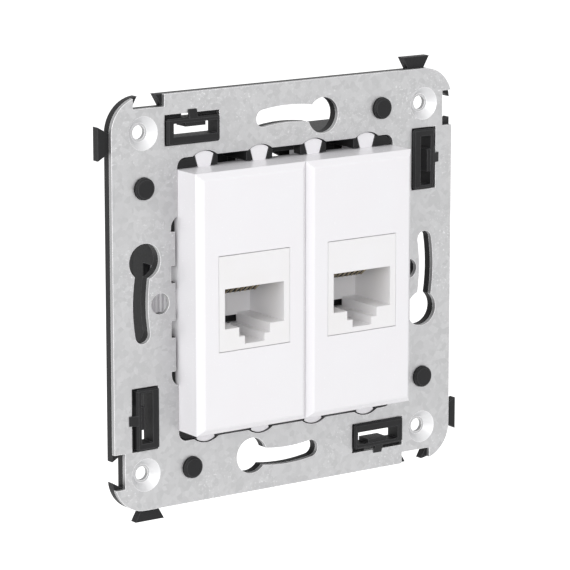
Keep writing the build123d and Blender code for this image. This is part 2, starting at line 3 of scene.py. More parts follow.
import bmesh
import bpy
from bpy.props import FloatProperty, FloatVectorProperty, IntProperty, PointerProperty
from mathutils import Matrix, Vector


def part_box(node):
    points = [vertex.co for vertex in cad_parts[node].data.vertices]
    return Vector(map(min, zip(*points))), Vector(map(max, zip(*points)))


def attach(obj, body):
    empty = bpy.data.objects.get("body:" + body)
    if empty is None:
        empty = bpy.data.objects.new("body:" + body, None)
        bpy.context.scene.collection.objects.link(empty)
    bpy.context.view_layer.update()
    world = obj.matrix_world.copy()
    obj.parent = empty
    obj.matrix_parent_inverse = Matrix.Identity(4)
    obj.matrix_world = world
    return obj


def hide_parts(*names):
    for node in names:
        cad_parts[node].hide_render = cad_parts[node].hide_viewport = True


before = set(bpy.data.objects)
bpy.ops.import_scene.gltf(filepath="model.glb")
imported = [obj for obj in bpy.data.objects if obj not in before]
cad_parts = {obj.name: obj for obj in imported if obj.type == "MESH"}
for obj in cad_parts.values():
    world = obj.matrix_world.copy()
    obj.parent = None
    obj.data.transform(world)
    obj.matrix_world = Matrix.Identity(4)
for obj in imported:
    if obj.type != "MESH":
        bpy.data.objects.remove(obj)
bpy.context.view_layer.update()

bl_info = {
    "name": "Double Data Socket",
    "version": (1, 0, 0),
    "blender": (4, 5, 0),
    "location": "View3D > Sidebar > Socket",
    "description": "Dresses the double data socket, from its steel plate to its rear caps, and lights it",
    "category": "Object",
}

MM = 0.001
PIXELS = 570
SENSOR_MM = 36.0
SIDES = ("left", "right")
FLOOR_HALF = 4000 * MM
FLOOR_GLOW = 0.65
LAMP_DISTANCE = 900 * MM
CLIP_START = 10 * MM
WIRE_TAIL_INSET = 0.1 * MM
# Bands of Blender's wave texture in one metre, at a scale of 1
WAVE_BANDS = 20.0 / (2 * math.pi)


def linear(hex_colour):
    """An sRGB hex colour as linear red, green and blue."""
    parts = [int(hex_colour[place:place + 2], 16) / 255 for place in (1, 3, 5)]
    return tuple(c / 12.92 if c <= 0.04045 else ((c + 0.055) / 1.055) ** 2.4 for c in parts)


def rgba(colour):
    """A colour with full opacity."""
    return (*colour[:3], 1.0)


def mixed(colour, other, share):
    """A colour part of the way to another."""
    return tuple(a + (b - a) * share for a, b in zip(colour[:3], other[:3]))


def shaded(colour, factor):
    """A colour made lighter or darker."""
    return tuple(min(1.0, c * factor) for c in colour[:3])


class SocketColours(bpy.types.PropertyGroup):
    """The colours of the socket's materials."""

    steel: FloatVectorProperty(
        name="Steel", description="Zinc-coated sheet", subtype="COLOR", size=3, min=0, max=1,
        default=linear("#B7B7B8"),
    )
    spangle: FloatVectorProperty(
        name="Spangle", description="Palest zinc flecks", subtype="COLOR", size=3, min=0, max=1,
        default=linear("#D9D9DA"),
    )
    # Painted highlight colour: the bright line on the plate's edges and the lighter tilted faces.
    painted_highlight: FloatVectorProperty(
        name="Sheared edge", description="Bright steel along the stamped edges", subtype="COLOR", size=3,
        min=0, max=1, default=linear("#FAFAFB"),
    )
    frame_black: FloatVectorProperty(
        name="Frame", description="Black nylon of the mounting frame", subtype="COLOR", size=3, min=0, max=1,
        default=linear("#222223"),
    )
    cover_white: FloatVectorProperty(
        name="Cover", description="White ABS of the modules", subtype="COLOR", size=3, min=0, max=1,
        default=linear("#EEEDF0"),
    )
    jack_white: FloatVectorProperty(
        name="Jack", description="White polycarbonate of the jacks", subtype="COLOR", size=3, min=0, max=1,
        default=linear("#EDECEE"),
    )
    carrier_black: FloatVectorProperty(
        name="Carrier", description="Black polyester that holds the wires", subtype="COLOR", size=3,
        min=0, max=1, default=linear("#161617"),
    )
    gold: FloatVectorProperty(
        name="Contacts", description="Gold plating of the contact wires", subtype="COLOR", size=3,
        min=0, max=1, default=linear("#E0D2B0"),
    )
    mask_green: FloatVectorProperty(
        name="Board", description="Solder mask of the circuit boards", subtype="COLOR", size=3, min=0, max=1,
        default=linear("#1B5A38"),
    )
    block_natural: FloatVectorProperty(
        name="Terminal blocks", description="Natural polyester", subtype="COLOR", size=3, min=0, max=1,
        default=linear("#E6E3DA"),
    )
    tin: FloatVectorProperty(
        name="Blades", description="Tin plating and solder", subtype="COLOR", size=3, min=0, max=1,
        default=linear("#C6C5C1"),
    )
    cap_white: FloatVectorProperty(
        name="Caps", description="White rear caps", subtype="COLOR", size=3, min=0, max=1,
        default=linear("#E9E9E7"),
    )
    floor: FloatVectorProperty(
        name="Floor", description="Pale studio floor", subtype="COLOR", size=3, min=0, max=1,
        default=linear("#F4F4F4"),
    )


class SocketSizes(bpy.types.PropertyGroup):
    """The sizes of the pieces that are made here and of the materials' patterns."""

    wire_diameter: FloatProperty(
        name="Wire diameter", description="Thickness of one contact wire", unit="LENGTH", default=0.46 * MM,
        min=0.1 * MM,
    )
    wire_pitch: FloatProperty(
        name="Wire pitch", description="Distance between contact wires", unit="LENGTH", default=1.02 * MM,
        min=0.5 * MM,
    )
    wire_count: IntProperty(name="Wires", description="Contact wires in one jack", default=8, min=1, max=10)
    wire_run: FloatProperty(
        name="Wire level", description="Height of the wires' level run over the middle", unit="LENGTH",
        default=3.9 * MM,
    )
    wire_tip_depth: FloatProperty(
        name="Wire tip depth", description="Where the wires' tips end, from the wall's surface",
        unit="LENGTH", default=-3.45 * MM,
    )
    wire_tip_height: FloatProperty(
        name="Wire tip height", description="Height of the wires' tips", unit="LENGTH", default=0.61 * MM
    )
    wire_slope: FloatProperty(
        name="Wire slope", description="How steeply the wires slant into the port", unit="ROTATION",
        default=math.radians(38.7), min=0.2, max=1.5,
    )
    wire_bend: FloatProperty(
        name="Wire bend", description="Radius of the wires' front bend", unit="LENGTH", default=0.5 * MM,
        min=0.3 * MM,
    )
    crystal: FloatProperty(
        name="Crystal", description="Width of one zinc crystal", unit="LENGTH", default=0.9 * MM, min=0.1 * MM
    )
    cluster: FloatProperty(
        name="Fleck clusters", description="Distance between clusters of pale flecks", unit="LENGTH",
        default=11.0 * MM, min=1.0 * MM,
    )
    # Width of the painted highlight line along the plate's edges.
    highlight_line_width: FloatProperty(
        name="Sheared edge", description="Width of the bright line on stamped edges", unit="LENGTH",
        default=0.16 * MM, min=0.01 * MM,
    )
    skirt_outside: FloatProperty(
        name="Skirt", description="Outside of the frame's skirt, from the middle", unit="LENGTH",
        default=24.05 * MM,
    )
    skirt_wall: FloatProperty(
        name="Skirt wall", description="Thickness of the frame's skirt", unit="LENGTH", default=1.4 * MM
    )
    lip_half: FloatProperty(
        name="Lip half length", description="Half the length of the skirt's lips", unit="LENGTH",
        default=19.0 * MM,
    )
    lip_deep: FloatProperty(
        name="Lip depth", description="How far the lips stand behind the skirt", unit="LENGTH",
        default=1.4 * MM,
    )
    web_low: FloatProperty(
        name="Web's low edge", description="Height of the rear web's low edge", unit="LENGTH",
        default=19.8 * MM,
    )
    web_high: FloatProperty(
        name="Web's high edge", description="Height of the rear web's high edge", unit="LENGTH",
        default=24.7 * MM,
    )
    web_half: FloatProperty(
        name="Web half width", description="Half the width of the rear web", unit="LENGTH", default=21.2 * MM
    )
    partition_lift: FloatProperty(
        name="Partition lip", description="How far the lip lifts the port's rear wall", unit="LENGTH",
        default=0.7 * MM,
    )
    melt_flow: FloatProperty(
        name="Melt flow", description="Width of the moulded surfaces' cloudiness", unit="LENGTH",
        default=9.0 * MM, min=1.0 * MM,
    )
    gold_wear: FloatProperty(
        name="Gold wear", description="Width of the worn spots in the gold", unit="LENGTH", default=1.6 * MM,
        min=0.1 * MM,
    )
    moulded_grain: FloatProperty(
        name="Moulded grain", description="Width of the moulded surfaces' grain", unit="LENGTH",
        default=0.35 * MM, min=0.05 * MM,
    )
    edge_radius: FloatProperty(
        name="Edge radius", description="Radius that catches light on moulded edges", unit="LENGTH",
        default=0.16 * MM, min=0.01 * MM,
    )


class SocketStudio(bpy.types.PropertyGroup):
    """Camera, lamps and floor."""

    azimuth: FloatProperty(
        name="Azimuth", description="Camera's turn round the socket", unit="ROTATION",
        default=math.radians(-35.066),
    )
    elevation: FloatProperty(
        name="Elevation", description="Camera's height over the socket", unit="ROTATION",
        default=math.radians(11.745),
    )
    distance: FloatProperty(
        name="Distance", description="Camera's distance", unit="LENGTH", default=561.176 * MM, min=0.1
    )
    lens: FloatProperty(name="Lens", description="Focal length in millimetres", default=205.76, min=10.0)
    target_x: FloatProperty(
        name="Target column", description="Pixel column of the plate's middle in the photograph",
        default=287.49,
    )
    target_y: FloatProperty(
        name="Target row", description="Pixel row of the plate's middle in the photograph",
        default=285.80,
    )
    sky: FloatProperty(
        name="Sky", description="Strength of the even light from all sides", default=0.57, min=0.0
    )
    key: FloatProperty(
        name="Key lamp", description="Power of the left soft box in watts", default=2.55, min=0.0
    )
    front: FloatProperty(
        name="Front lamp", description="Power of the front soft box in watts", default=1.95, min=0.0
    )
    fill: FloatProperty(
        name="Fill lamp", description="Power of the right soft box in watts", default=0.5, min=0.0
    )
    top: FloatProperty(
        name="Top lamp", description="Power of the upper soft box in watts", default=0.9, min=0.0
    )
    floor_height: FloatProperty(
        name="Floor height", description="Height of the floor under the socket", unit="LENGTH",
        default=-120 * MM,
    )


def colours():
    return bpy.context.scene.socket_colours


def sizes():
    return bpy.context.scene.socket_sizes


def studio():
    return bpy.context.scene.socket_studio


def add_node(tree, kind, settings=None, links=None):
    """Adds a node, sets its options and input values, and links its inputs."""
    made = tree.nodes.new(kind)
    for name, value in (settings or {}).items():
        if isinstance(name, int) or name in made.inputs:
            made.inputs[name].default_value = value
        else:
            setattr(made, name, value)
    for name, source in (links or {}).items():
        tree.links.new(source, made.inputs[name])
    return made


def new_material(name):
    """An empty node material and its tree."""
    material = bpy.data.materials.new(name)
    material.use_nodes = True
    material.node_tree.nodes.clear()
    return material, material.node_tree


def surface(tree, settings, links):
    """The shader that ends a material."""
    shader = add_node(tree, "ShaderNodeBsdfPrincipled", settings, links)
    add_node(tree, "ShaderNodeOutputMaterial", links={"Surface": shader.outputs["BSDF"]})


def per_metre(feature):
    """A texture's scale for a pattern whose features are this wide, in metres."""
    return 1.0 / feature


def rays_that_see_white(tree):
    """A mask that is 1 for rays from the camera, in gloss and through glass, and 0 for others."""
    rays = add_node(tree, "ShaderNodeLightPath")
    seen = add_node(
        tree, "ShaderNodeMath", {"operation": "MAXIMUM"},
        {0: rays.outputs["Is Camera Ray"], 1: rays.outputs["Is Glossy Ray"]},
    )
    also = add_node(
        tree, "ShaderNodeMath", {"operation": "MAXIMUM"},
        {0: seen.outputs["Value"], 1: rays.outputs["Is Transmission Ray"]},
    )
    return also.outputs["Value"]


def rounded_edges(tree, radius):
    """The normal of edges rounded to a radius, and a mask that is 1 on them and 0 on flat faces."""
    edge = add_node(tree, "ShaderNodeBevel", {"samples": 6, "Radius": radius}).outputs["Normal"]
    flat = add_node(tree, "ShaderNodeNewGeometry").outputs["Normal"]
    turn = add_node(tree, "ShaderNodeVectorMath", {"operation": "DOT_PRODUCT"}, {0: edge, 1: flat})
    mask = add_node(
        tree, "ShaderNodeMapRange", {"From Min": 1.0, "From Max": 0.9, "To Min": 0.0, "To Max": 1.0},
        {"Value": turn.outputs["Value"]},
    )
    return edge, mask.outputs["Result"]


def zinc_coated_steel():
    """Galvanised sheet, stamped: dull grey crystals about a millimetre wide, clusters of paler
    flecks, a soft broken gloss, a painted highlight on the rounded edges and on faces that tilt
    out of the sheet, and painted shade on the walls where it is cut through."""
    c, s = colours(), sizes()
    material, tree = new_material("zinc_coated_steel")
    place = add_node(tree, "ShaderNodeTexCoord").outputs["Object"]
    crystals = add_node(
        tree, "ShaderNodeTexVoronoi", {"Scale": per_metre(s.crystal), "Randomness": 1.0}, {"Vector": place}
    )
    grey = add_node(tree, "ShaderNodeSeparateColor", links={"Color": crystals.outputs["Color"]})
    ramp = add_node(tree, "ShaderNodeValToRGB", links={"Fac": grey.outputs["Red"]})
    ramp.color_ramp.elements[0].color = rgba(shaded(c.steel, 0.97))
    ramp.color_ramp.elements[1].color = rgba(mixed(c.steel, c.spangle, 0.24))
    fleck_width = s.crystal / 2
    fleck = add_node(
        tree, "ShaderNodeTexNoise", {"Scale": per_metre(fleck_width), "Detail": 3.0, "Roughness": 0.65},
        {"Vector": place},
    )
    cloud = add_node(
        tree, "ShaderNodeTexNoise", {"Scale": per_metre(s.cluster), "Detail": 3.0, "Roughness": 0.6},
        {"Vector": place},
    )
    pale = add_node(
        tree, "ShaderNodeMapRange", {"From Min": 0.57, "From Max": 0.68}, {"Value": fleck.outputs["Fac"]}
    )
    near = add_node(
        tree, "ShaderNodeMapRange", {"From Min": 0.47, "From Max": 0.63}, {"Value": cloud.outputs["Fac"]}
    )
    spots = add_node(
        tree, "ShaderNodeMath", {"operation": "MULTIPLY"},
        {0: pale.outputs["Result"], 1: near.outputs["Result"]},
    )
    spotted = add_node(
        tree, "ShaderNodeMix", {"data_type": "RGBA", 7: rgba(c.spangle)},
        {0: spots.outputs["Value"], 6: ramp.outputs["Color"]},
    )
    # Painted highlight: a bright line is painted along the plate's rounded edges.
    edge, highlight_line_mask = rounded_edges(tree, s.highlight_line_width)
    normal = add_node(tree, "ShaderNodeTexCoord").outputs["Normal"]
    facing = add_node(tree, "ShaderNodeSeparateXYZ", links={"Vector": normal})
    flat = add_node(tree, "ShaderNodeMath", {"operation": "ABSOLUTE"}, {0: facing.outputs["Y"]})
    # Painted highlight: faces that tilt out of the sheet's plane, such as the dimples' cones, are painted
    # lighter.
    lit_slope_mask = add_node(
        tree, "ShaderNodeMapRange", {"From Min": 0.97, "From Max": 0.9, "To Min": 0.0, "To Max": 1.0},
        {"Value": flat.outputs["Value"]},
    )
    # Painted shade: the walls where the sheet is cut through are painted darker.
    wall_shade_mask = add_node(
        tree, "ShaderNodeMapRange", {"From Min": 0.3, "From Max": 0.1, "To Min": 0.0, "To Max": 1.0},
        {"Value": flat.outputs["Value"]},
    )
    # Mixes a lighter steel onto the tilted faces as a painted highlight.
    drawn_and_lit_slopes = add_node(
        tree, "ShaderNodeMix", {"data_type": "RGBA", 7: rgba(mixed(c.steel, c.painted_highlight, 0.5))},
        {0: lit_slope_mask.outputs["Result"], 6: spotted.outputs[2]},
    )
    # Mixes a darker steel onto the cut walls as painted shade.
    shaded_walls = add_node(
        tree, "ShaderNodeMix", {"data_type": "RGBA", 7: rgba(shaded(c.steel, 0.8))},
        {0: wall_shade_mask.outputs["Result"], 6: drawn_and_lit_slopes.outputs[2]},
    )
    # Mixes the painted highlight colour onto the edge line.
    highlighted = add_node(
        tree, "ShaderNodeMix", {"data_type": "RGBA", 7: rgba(c.painted_highlight)}, {0: highlight_line_mask, 6: shaded_walls.outputs[2]}
    )
    gloss = add_node(
        tree, "ShaderNodeMapRange", {"From Min": 0.3, "From Max": 0.8, "To Min": 0.52, "To Max": 0.42},
        {"Value": fleck.outputs["Fac"]},
    )
    bump = add_node(
        tree, "ShaderNodeBump", {"Strength": 0.12, "Distance": 0.01 * MM},
        {"Height": fleck.outputs["Fac"], "Normal": edge},
    )
    surface(
        tree, {"Metallic": 0.7},
        {
            "Base Color": highlighted.outputs[2],
            "Roughness": gloss.outputs["Result"],
            "Normal": bump.outputs["Normal"],
        },
    )
    return material


def moulded_plastic(
    name, colour, roughness, ior, tint, edge_highlight, edge_size=1.0, grain_depth=0.006, gloss=0.5, uneven=0.12
):
    """Injection-moulded plastic: one colour with a faint cloudiness from the melt's flow, a fine
    eroded grain from the tool, and rounded edges that can carry a painted highlight in a colour of their own."""
    s = sizes()
    material, tree = new_material(name)
    place = add_node(tree, "ShaderNodeTexCoord").outputs["Object"]
    flow = add_node(
        tree, "ShaderNodeTexNoise", {"Scale": per_metre(s.melt_flow), "Detail": 2.0}, {"Vector": place}
    )
    grain = add_node(
        tree, "ShaderNodeTexNoise", {"Scale": per_metre(s.moulded_grain), "Detail": 2.0, "Roughness": 0.55},
        {"Vector": place},
    )
    ramp = add_node(tree, "ShaderNodeValToRGB", links={"Fac": flow.outputs["Fac"]})
    ramp.color_ramp.elements[0].position = 0.3
    ramp.color_ramp.elements[0].color = rgba(mixed(colour, tint, 0.5))
    ramp.color_ramp.elements[1].position = 0.7
    ramp.color_ramp.elements[1].color = rgba(colour)
    shine = add_node(
        tree, "ShaderNodeMapRange",
        {
            "From Min": 0.3,
            "From Max": 0.7,
            "To Min": roughness * (1 - uneven),
            "To Max": roughness * (1 + uneven),
        },
        {"Value": grain.outputs["Fac"]},
    )
    # Painted highlight: the rounded edges are painted in a paler colour of their own.
    edge, edge_highlight_mask = rounded_edges(tree, s.edge_radius * edge_size)
    wear_and_edge_highlight = add_node(
        tree, "ShaderNodeMix", {"data_type": "RGBA", 7: rgba(edge_highlight)},
        {0: edge_highlight_mask, 6: ramp.outputs["Color"]},
    )
    bump = add_node(
        tree, "ShaderNodeBump", {"Strength": 0.15, "Distance": grain_depth * MM},
        {"Height": grain.outputs["Fac"], "Normal": edge},
    )
    surface(
        tree, {"IOR": ior, "Specular IOR Level": gloss},
        {
            "Base Color": wear_and_edge_highlight.outputs[2],
            "Roughness": shine.outputs["Result"],
            "Normal": bump.outputs["Normal"],
        },
    )
    return material


def black_nylon():
    """Glass-filled nylon: charcoal black, satin, with a fine leathery grain and edges painted slightly paler
    as a highlight.
    """
    base = colours().frame_black
    # The paler edge colour is a painted highlight on the nylon's edges.
    return moulded_plastic(
        "black_nylon", base, roughness=0.55, ior=1.48, tint=shaded(base, 0.8), edge_highlight=linear("#4A4A4C"),
        edge_size=1.2, grain_depth=0.012, gloss=0.22,
    )


def white_abs():
    """ABS: clean white with a silky gloss that mirrors its neighbours weakly on the flanks."""
    base = colours().cover_white
    return moulded_plastic(
        "white_abs", base, roughness=0.27, ior=1.53, tint=linear("#EDEAED"), edge_highlight=base,
        grain_depth=0.0001, uneven=0.015,
    )


def white_polycarbonate():
    """Polycarbonate: a slightly greyer white than the cover, silky and dense."""
    base = colours().jack_white
    return moulded_plastic(
        "white_polycarbonate", base, roughness=0.3, ior=1.585, tint=linear("#E8E6E4"), edge_highlight=base,
        edge_size=0.7, grain_depth=0.0001, uneven=0.015,
    )


def black_polyester():
    """PBT polyester: deep black with a dull gloss."""
    base = colours().carrier_black
    return moulded_plastic(
        "black_polyester", base, roughness=0.45, ior=1.57, tint=shaded(base, 0.7), edge_highlight=base,
        edge_size=0.7, grain_depth=0.008,
    )


def natural_polyester():
    """Unpigmented PBT polyester: warm milky white, waxy."""
    base = colours().block_natural
    return moulded_plastic(
        "natural_polyester", base, roughness=0.38, ior=1.57, tint=linear("#EFEDE6"), edge_highlight=base,
        edge_size=0.8, grain_depth=0.004,
    )


def cap_polycarbonate():
    """Polycarbonate: plain white with a satin tool finish, coarser than the front's."""
    base = colours().cap_white
    return moulded_plastic(
        "cap_polycarbonate", base, roughness=0.4, ior=1.585, tint=linear("#DFDFDC"), edge_highlight=base,
        grain_depth=0.01,
    )


def gold_plated_bronze():
    """Phosphor bronze wire with a thin gold plating: warm yellow metal, drawn smooth, with faint
    lines along it and browner where the plating is thin."""
    c, s = colours(), sizes()
    drawn_line = 0.25 * MM
    material, tree = new_material("gold_plated_bronze")
    place = add_node(tree, "ShaderNodeTexCoord").outputs["Object"]
    stretch = add_node(tree, "ShaderNodeMapping", {"Scale": (1.0, 0.2, 0.2)}, {"Vector": place})
    drawn_and_lit_slopes = add_node(
        tree, "ShaderNodeTexNoise", {"Scale": per_metre(drawn_line), "Detail": 2.0},
        {"Vector": stretch.outputs["Vector"]},
    )
    wear_and_edge_highlight = add_node(
        tree, "ShaderNodeTexNoise", {"Scale": per_metre(s.gold_wear), "Detail": 1.0}, {"Vector": place}
    )
    ramp = add_node(tree, "ShaderNodeValToRGB", links={"Fac": wear_and_edge_highlight.outputs["Fac"]})
    ramp.color_ramp.elements[0].position = 0.35
    ramp.color_ramp.elements[0].color = rgba(mixed(c.gold, linear("#B79A66"), 0.5))
    ramp.color_ramp.elements[1].position = 0.6
    ramp.color_ramp.elements[1].color = rgba(c.gold)
    gloss = add_node(
        tree, "ShaderNodeMapRange", {"From Min": 0.3, "From Max": 0.7, "To Min": 0.2, "To Max": 0.32},
        {"Value": drawn_and_lit_slopes.outputs["Fac"]},
    )
    surface(
        tree, {"Metallic": 1.0}, {"Base Color": ramp.outputs["Color"], "Roughness": gloss.outputs["Result"]}
    )
    return material


def solder_mask_board():
    """Glass-epoxy board under green solder mask: glossy green, paler and raised over bands of
    copper tracks, with the glass weave showing faintly."""
    c = colours()
    track_spacing, weave_thread = 6.409 * MM, 0.4 * MM
    material, tree = new_material("solder_mask_board")
    place = add_node(tree, "ShaderNodeTexCoord").outputs["Object"]
    tracks = add_node(
        tree, "ShaderNodeTexWave",
        {
            "bands_direction": "X",
            "Scale": per_metre(track_spacing) / WAVE_BANDS,
            "Distortion": 1.5,
            "Detail": 1.0,
            "Detail Scale": 0.4,
        },
        {"Vector": place},
    )
    weave = add_node(tree, "ShaderNodeTexChecker", {"Scale": per_metre(weave_thread)}, {"Vector": place})
    ramp = add_node(tree, "ShaderNodeValToRGB", links={"Fac": tracks.outputs["Fac"]})
    ramp.color_ramp.elements[0].position = 0.45
    ramp.color_ramp.elements[0].color = rgba(shaded(c.mask_green, 0.75))
    ramp.color_ramp.elements[1].position = 0.55
    ramp.color_ramp.elements[1].color = rgba(shaded(c.mask_green, 1.35))
    cloth = add_node(
        tree, "ShaderNodeMix", {"data_type": "RGBA", "blend_type": "MULTIPLY", 0: 0.12},
        {6: ramp.outputs["Color"], 7: weave.outputs["Color"]},
    )
    bump = add_node(
        tree, "ShaderNodeBump", {"Strength": 0.5, "Distance": 0.03 * MM}, {"Height": tracks.outputs["Fac"]}
    )
    surface(
        tree, {"IOR": 1.5, "Roughness": 0.22},
        {"Base Color": cloth.outputs[2], "Normal": bump.outputs["Normal"]},
    )
    return material


def tinned_bronze():
    """Tin on bronze sheet, and solder: soft grey-white metal with a milky, slightly uneven gloss."""
    c = colours()
    frost_grain = 0.5 * MM
    material, tree = new_material("tinned_bronze")
    place = add_node(tree, "ShaderNodeTexCoord").outputs["Object"]
    frost = add_node(
        tree, "ShaderNodeTexNoise", {"Scale": per_metre(frost_grain), "Detail": 3.0}, {"Vector": place}
    )
    ramp = add_node(tree, "ShaderNodeValToRGB", links={"Fac": frost.outputs["Fac"]})
    ramp.color_ramp.elements[0].position = 0.3
    ramp.color_ramp.elements[0].color = rgba(shaded(c.tin, 0.85))
    ramp.color_ramp.elements[1].position = 0.65
    ramp.color_ramp.elements[1].color = rgba(c.tin)
    gloss = add_node(
        tree, "ShaderNodeMapRange", {"From Min": 0.3, "From Max": 0.7, "To Min": 0.3, "To Max": 0.42},
        {"Value": frost.outputs["Fac"]},
    )
    surface(
        tree, {"Metallic": 1.0}, {"Base Color": ramp.outputs["Color"], "Roughness": gloss.outputs["Result"]}
    )
    return material


def finish_nodes(material, *names):
    """Gives CAD nodes their material."""
    for name in names:
        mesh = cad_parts[name].data
        mesh.materials.clear()
        mesh.materials.append(material)


def new_piece(name, builder, material, smooth=True):
    """A mesh object from a filled bmesh, with its finish, riding on the socket."""
    mesh = bpy.data.meshes.new(name)
    builder.to_mesh(mesh)
    builder.free()
    mesh.materials.append(material)
    for face in mesh.polygons:
        face.use_smooth = smooth
    piece = bpy.data.objects.new(name, mesh)
    bpy.context.scene.collection.objects.link(piece)
    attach(piece, "root")
    return piece


def prism(builder, outline, front, back):
    """A flat piece: an outline of x and z, clockwise from the front, from y = front to y = back."""
    near = [builder.verts.new((x, front, z)) for x, z in outline]
    far = [builder.verts.new((x, back, z)) for x, z in outline]
    builder.faces.new(near)
    builder.faces.new(reversed(far))
    for place in range(len(outline)):
        after = (place + 1) % len(outline)
        builder.faces.new((near[after], near[place], far[place], far[after]))


def tube(builder, path, radius, around=14):
    """A round wire along a path in one plane of constant x, with domed ends."""
    dome_rim, dome_rise = 0.72, 0.35
    across = Vector((1.0, 0.0, 0.0))
    rings = []
    last = len(path) - 1
    for index, point in enumerate(path):
        ahead = path[min(index + 1, last)] - path[max(index - 1, 0)]
        ahead.normalize()
        up = across.cross(ahead)
        reach = radius * (dome_rim if index in (0, last) else 1.0)
        ring = []
        for place in range(around):
            turn = 2 * math.pi * place / around
            offset = across * math.cos(turn) + up * math.sin(turn)
            ring.append(builder.verts.new(point + offset * reach))
        rings.append(ring)
    for first, second in zip(rings, rings[1:]):
        for place in range(around):
            after = (place + 1) % around
            builder.faces.new((first[place], first[after], second[after], second[place]))
    for ring, tip, sign in ((rings[0], path[0], -1), (rings[-1], path[-1], 1)):
        other = path[1] if sign < 0 else path[-2]
        peak = builder.verts.new(tip + (tip - other).normalized() * radius * dome_rise)
        for place in range(around):
            after = (place + 1) % around
            corner = (ring[place], ring[after], peak) if sign > 0 else (ring[after], ring[place], peak)
            builder.faces.new(corner)


def wire_path(x, tail_y):
    """The line of one contact wire: level from the board, bent over in front, slanting down."""
    s = sizes()
    rise = s.wire_run - s.wire_tip_height
    corner = Vector((x, s.wire_tip_depth - rise / math.tan(s.wire_slope), s.wire_run))
    tail = Vector((x, tail_y, s.wire_run))
    tip = Vector((x, s.wire_tip_depth, s.wire_tip_height))
    back = (tail - corner).normalized()
    down = (tip - corner).normalized()
    half = back.angle(down) / 2
    reach = s.wire_bend / math.tan(half)
    centre = corner + (back + down).normalized() * s.wire_bend / math.sin(half)
    start = corner + back * reach - centre
    end = corner + down * reach - centre
    steps = 12
    path = [tail, tail.lerp(corner + back * reach, 0.5)]
    sweep = start.angle(end)
    for step in range(steps + 1):
        turn = sweep * step / steps
        path.append(centre + (start * math.sin(sweep - turn) + end * math.sin(turn)) / math.sin(sweep))
    path.append((corner + down * reach).lerp(tip, 0.5))
    path.append(tip)
    return path


class SOCKET_OT_support_plate(bpy.types.Operator):
    """Finishes the stamped steel plate"""

    bl_idname = "socket.support_plate"
    bl_label = "Steel Plate"

    def execute(self, context):
        finish_nodes(zinc_coated_steel(), "support_plate")
        return {"FINISHED"}


class SOCKET_OT_mounting_frame(bpy.types.Operator):
    """Finishes the black frame behind the plate, and makes its skirt's lips and rear web"""

    bl_idname = "socket.mounting_frame"
    bl_label = "Black Frame"

    def execute(self, context):
        nylon = black_nylon()
        finish_nodes(nylon, "mounting_frame")
        self.skirt_lips(nylon)
        self.rear_web(nylon)
        return {"FINISHED"}

    def skirt_lips(self, nylon):
        """Two lips that carry the skirt's side walls deeper into the wall box."""
        s = sizes()
        root = 0.1 * MM
        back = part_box("mounting_frame")[1][1]
        builder = bmesh.new()
        for left in (-s.skirt_outside, s.skirt_outside - s.skirt_wall):
            right = left + s.skirt_wall
            outline = [(left, -s.lip_half), (left, s.lip_half), (right, s.lip_half), (right, -s.lip_half)]
            prism(builder, outline, back - root, back + s.lip_deep)
        new_piece("skirt_lips", builder, nylon, smooth=False)

    def rear_web(self, nylon):
        """The web across the skirt's upper end, with a notch right of its middle."""
        s = sizes()
        setback, thickness = 0.3 * MM, 1.0 * MM
        corner, corner_rise = 3.5 * MM, 1.9 * MM
        notch_left, notch_right = -1.5 * MM, 8.5 * MM
        low, high, half = s.web_low, s.web_high, s.web_half
        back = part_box("mounting_frame")[1][1] - setback
        outline = [(-half, low), (-half, low + corner_rise), (-half + corner, high)]
        outline += [(half - corner, high), (half, low + corner_rise), (half, low)]
        outline += [(notch_right, low)]
        outline += [(x * MM, low + rise * MM) for x, rise in ((6.9, 0.4), (4.4, 1.6), (1.0, 2.1))]
        outline += [(notch_left, low)]
        builder = bmesh.new()
        prism(builder, outline, back - thickness, back)
        builder.normal_update()
        bmesh.ops.triangulate(builder, faces=builder.faces)
        new_piece("rear_web", builder, nylon, smooth=False)


class SOCKET_OT_module_covers(bpy.types.Operator):
    """Finishes the two white module covers"""

    bl_idname = "socket.module_covers"
    bl_label = "Module Covers"

    def execute(self, context):
        finish_nodes(white_abs(), *(f"{side}_module_cover" for side in SIDES))
        return {"FINISHED"}


class SOCKET_OT_jack_housings(bpy.types.Operator):
    """Finishes the jack housings and the black carriers, and lifts the ports' rear walls"""

    bl_idname = "socket.jack_housings"
    bl_label = "Jack Housings"

    def execute(self, context):
        white = white_polycarbonate()
        finish_nodes(white, *(f"{side}_jack_housing" for side in SIDES))
        finish_nodes(black_polyester(), *(f"{side}_contact_carrier" for side in SIDES))
        for side in SIDES:
            self.partition_lip(side, white)
        return {"FINISHED"}

    def partition_lip(self, side, white):
        """The thin lip that lifts the port's white rear wall."""
        half, thickness = 5.5 * MM, 0.1 * MM
        wall_top, root, wall_depth = -1.0 * MM, 0.05 * MM, 1.25 * MM
        low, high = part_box(f"{side}_jack_housing")
        middle = (low[0] + high[0]) / 2
        front = high[1] - wall_depth
        foot, top = wall_top - root, wall_top + sizes().partition_lift
        outline = [(middle - half, foot), (middle - half, top), (middle + half, top), (middle + half, foot)]
        builder = bmesh.new()
        prism(builder, outline, front, front + thickness)
        new_piece(f"{side}_partition_lip", builder, white, smooth=False)


